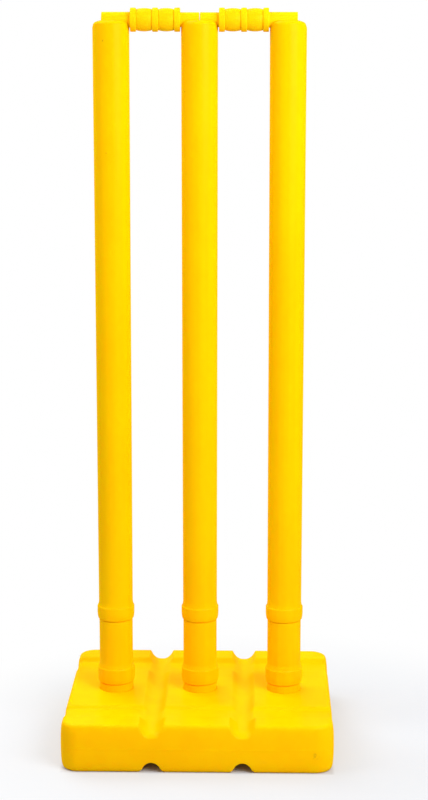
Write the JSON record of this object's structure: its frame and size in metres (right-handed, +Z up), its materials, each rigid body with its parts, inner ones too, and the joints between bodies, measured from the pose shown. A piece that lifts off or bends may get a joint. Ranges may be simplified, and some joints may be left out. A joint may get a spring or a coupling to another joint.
{
  "type": "cricket stumps set",
  "caption": "Free-standing moulded plastic cricket wicket: round stumps lift out of sockets in a grooved hollow base, and turned bails rest in grooves across the stump tops.",
  "frame": {"origin": "centre of the base's footprint, on the ground", "axes": "+X along the row of stumps, +Y towards the back, +Z up along the stumps"},
  "size_m": [0.283, 0.256, 0.7717],
  "materials": {
    "base_plastic": "satin moulded",
    "stump_plastic": "satin moulded",
    "bail_plastic": "satin moulded"
  },
  "bodies": {
    "base": {"base_block": "base_plastic"},
    "left_stump": {"left_stump_barrel": "stump_plastic", "left_stump_foot": "stump_plastic"},
    "middle_stump": {"middle_stump_barrel": "stump_plastic", "middle_stump_foot": "stump_plastic"},
    "right_stump": {"right_stump_barrel": "stump_plastic", "right_stump_foot": "stump_plastic"},
    "left_bail": {"left_bail": "bail_plastic"},
    "right_bail": {"right_bail": "bail_plastic"}
  },
  "joints": [
    {"name": "middle_stump_lift", "type": "slide", "parent": "base", "child": "middle_stump", "axis": [0, 0, 1], "range_m": [0, 0.049]},
    {"name": "left_stump_lift", "type": "slide", "parent": "base", "child": "left_stump", "axis": [0, 0, 1], "range_m": [0, 0.049]},
    {"name": "right_stump_lift", "type": "slide", "parent": "base", "child": "right_stump", "axis": [0, 0, 1], "range_m": [0, 0.049]},
    {"name": "left_bail_lift", "type": "slide", "parent": "left_stump", "child": "left_bail", "axis": [0, 0, 1], "range_m": [0, 0.024]},
    {"name": "right_bail_lift", "type": "slide", "parent": "right_stump", "child": "right_bail", "axis": [0, 0, 1], "range_m": [0, 0.024]}
  ],
  "couplings": [
    {"joint": "left_stump_lift", "follows": "middle_stump_lift", "ratio": 1},
    {"joint": "right_stump_lift", "follows": "middle_stump_lift", "ratio": 1}
  ]
}
